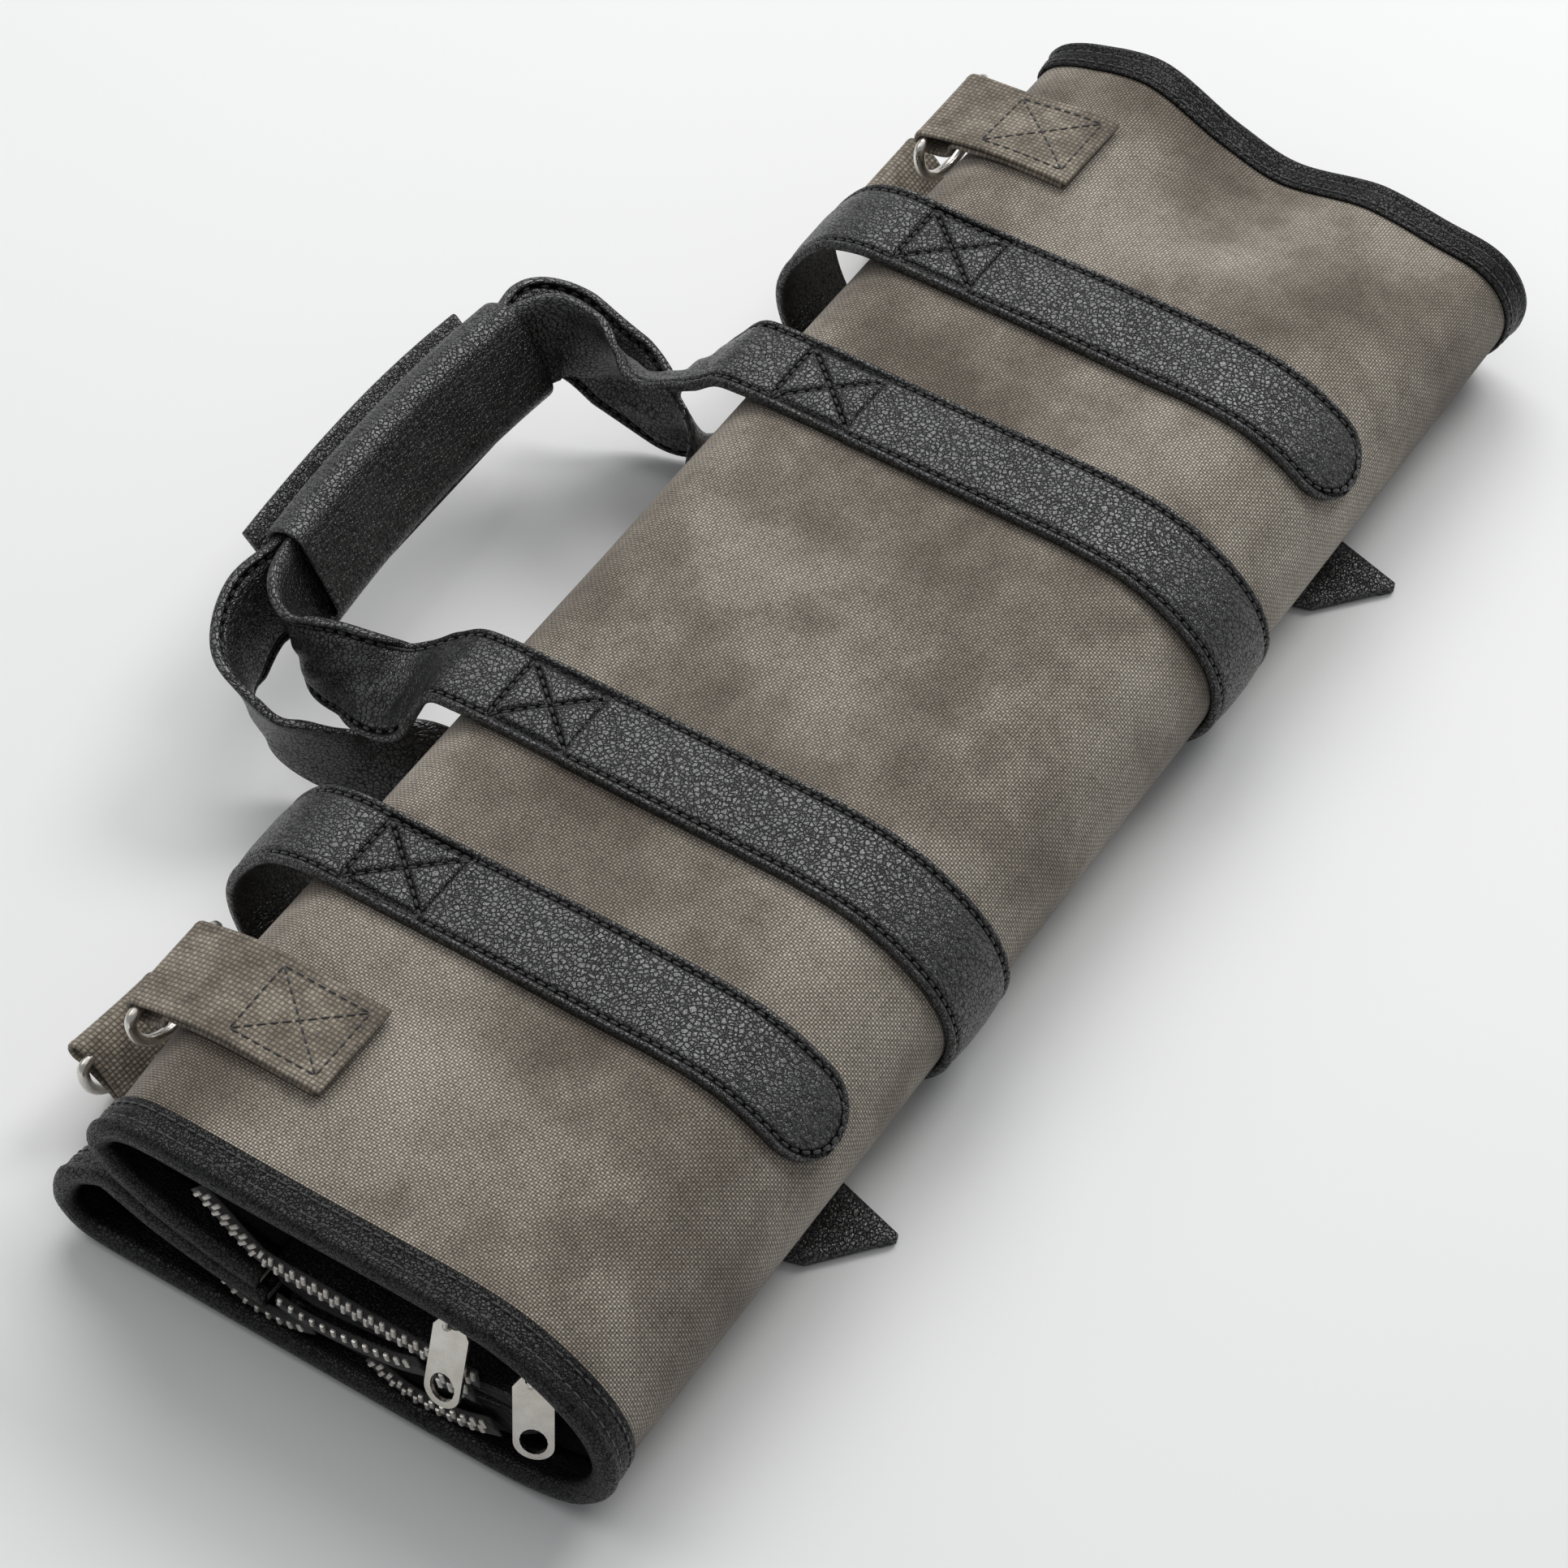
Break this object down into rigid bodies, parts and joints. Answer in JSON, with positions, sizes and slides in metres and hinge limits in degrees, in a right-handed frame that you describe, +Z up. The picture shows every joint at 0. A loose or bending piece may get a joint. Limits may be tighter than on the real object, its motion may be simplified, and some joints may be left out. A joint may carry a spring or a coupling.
{
  "type": "carving tool roll",
  "caption": "Folded canvas tool roll with leather end bindings, strap closures, a padded carrying handle, webbing tabs with rings and zipped inner pockets.",
  "frame": {"origin": "middle of the object's box, on the surface that the roll lies on", "axes": "+X along the roll towards the end without zip pulls, +Y from the spine towards the handle, +Z up"},
  "size_m": [0.4965, 0.2721, 0.0719],
  "materials": {
    "canvas": "taupe waxed cotton canvas with worn lighter blotches, matte plain weave",
    "lining": "black plain cloth, matte",
    "leather": "black pebbled leather with a soft sheen and dark grey stitching",
    "webbing": "olive-taupe ribbed webbing, matte",
    "nickel": "satin nickel plate, slightly warm",
    "zip": "black zip tape that carries bright metal teeth"
  },
  "bodies": {
    "roll": {"outer_canvas": "canvas", "inner_lining": "lining", "binding_near": "leather", "binding_far": "leather", "closure_strap_near": "leather", "closure_strap_far": "leather", "carry_strap_near": "leather", "carry_strap_far": "leather", "handle_leg_upper_near": "leather", "handle_leg_upper_far": "leather", "handle_leg_lower_near": "leather", "handle_leg_lower_far": "leather", "upper_pocket_panel": "leather", "middle_pocket": "leather", "lower_pocket": "leather", "webbing_top_near": "webbing", "webbing_top_far": "webbing", "webbing_bottom_near": "webbing", "webbing_bottom_far": "webbing", "upper_zip_chain": "zip", "spine_zip_chain": "zip", "middle_zip_chain": "zip", "lower_zip_upper_teeth": "zip", "lower_zip_closed_chain": "zip", "lower_zip_lower_teeth": "zip", "bottom_zip_chain": "zip"},
    "handle": {"grip_wrap": "leather", "grip_strap_upper": "leather", "grip_strap_lower": "leather", "snap_stud_near": "nickel", "snap_stud_far": "nickel"},
    "flap": {"grip_flap": "leather", "snap_cap_near": "nickel", "snap_cap_far": "nickel"},
    "tip_near": {"closure_tip_near": "leather"},
    "toe_near": {"closure_toe_near": "leather"},
    "tip_far": {"closure_tip_far": "leather"},
    "toe_far": {"closure_toe_far": "leather"},
    "ring_top_near": {"d_ring_top_near": "nickel"},
    "ring_top_far": {"d_ring_top_far": "nickel"},
    "ring_bottom_near": {"d_ring_bottom_near": "nickel"},
    "ring_bottom_far": {"d_ring_bottom_far": "nickel"},
    "slider_upper": {"slider_upper": "nickel", "link_upper": "nickel"},
    "pull_upper": {"pull_upper": "nickel"},
    "slider_spine": {"slider_spine": "nickel", "link_spine": "nickel"},
    "pull_spine": {"pull_spine": "nickel"}
  },
  "joints": [
    {"name": "handle_swing", "type": "hinge", "parent": "roll", "child": "handle", "pos_m": [0.0022, 0.0459, 0.036], "axis": [1, 0, 0], "range_deg": [-12, 70], "deforming": ["handle_leg_upper_near", "handle_leg_upper_far", "handle_leg_lower_near", "handle_leg_lower_far"]},
    {"name": "grip_flap_open", "type": "hinge", "parent": "handle", "child": "flap", "pos_m": [0.0022, 0.1152, 0.027], "axis": [-1, 0, 0], "range_deg": [0, 100]},
    {"name": "closure_tip_near_peel", "type": "hinge", "parent": "roll", "child": "tip_near", "pos_m": [-0.1358, -0.07225, 0.07135], "axis": [-1, 0, 0], "range_deg": [0, 100]},
    {"name": "closure_toe_near_lift", "type": "hinge", "parent": "roll", "child": "toe_near", "pos_m": [-0.1358, -0.10425, 0.003], "axis": [-1, 0, 0], "range_deg": [0, 25]},
    {"name": "closure_tip_far_peel", "type": "hinge", "parent": "roll", "child": "tip_far", "pos_m": [0.1402, -0.07225, 0.07135], "axis": [-1, 0, 0], "range_deg": [0, 100]},
    {"name": "closure_toe_far_lift", "type": "hinge", "parent": "roll", "child": "toe_far", "pos_m": [0.1402, -0.10425, 0.003], "axis": [-1, 0, 0], "range_deg": [0, 25]},
    {"name": "ring_top_near_swing", "type": "hinge", "parent": "roll", "child": "ring_top_near", "pos_m": [-0.1928, 0.0499, 0.0625], "axis": [1, 0, 0], "range_deg": [-8, 110]},
    {"name": "ring_bottom_near_swing", "type": "hinge", "parent": "roll", "child": "ring_bottom_near", "pos_m": [-0.1928, 0.0719, 0.0235], "axis": [1, 0, 0], "range_deg": [-10, 110]},
    {"name": "ring_top_far_swing", "type": "hinge", "parent": "roll", "child": "ring_top_far", "pos_m": [0.1972, 0.0499, 0.0625], "axis": [1, 0, 0], "range_deg": [-8, 110]},
    {"name": "ring_bottom_far_swing", "type": "hinge", "parent": "roll", "child": "ring_bottom_far", "pos_m": [0.1972, 0.0719, 0.0235], "axis": [1, 0, 0], "range_deg": [-10, 110]},
    {"name": "slider_upper_slide", "type": "slide", "parent": "roll", "child": "slider_upper", "axis": [0, 1, 0], "range_m": [0, 0.05]},
    {"name": "pull_upper_swing", "type": "hinge", "parent": "slider_upper", "child": "pull_upper", "pos_m": [-0.23895, -0.0741, 0.0584], "axis": [0, 1, 0], "range_deg": [0, 70]},
    {"name": "slider_spine_slide", "type": "slide", "parent": "roll", "child": "slider_spine", "axis": [0, -0.8944, -0.4472], "range_m": [-0.003, 0.006]},
    {"name": "pull_spine_swing", "type": "hinge", "parent": "slider_spine", "child": "pull_spine", "pos_m": [-0.2387, -0.09837, 0.052], "axis": [-0.3746, 0.9272, 0], "range_deg": [0, 70]}
  ]
}
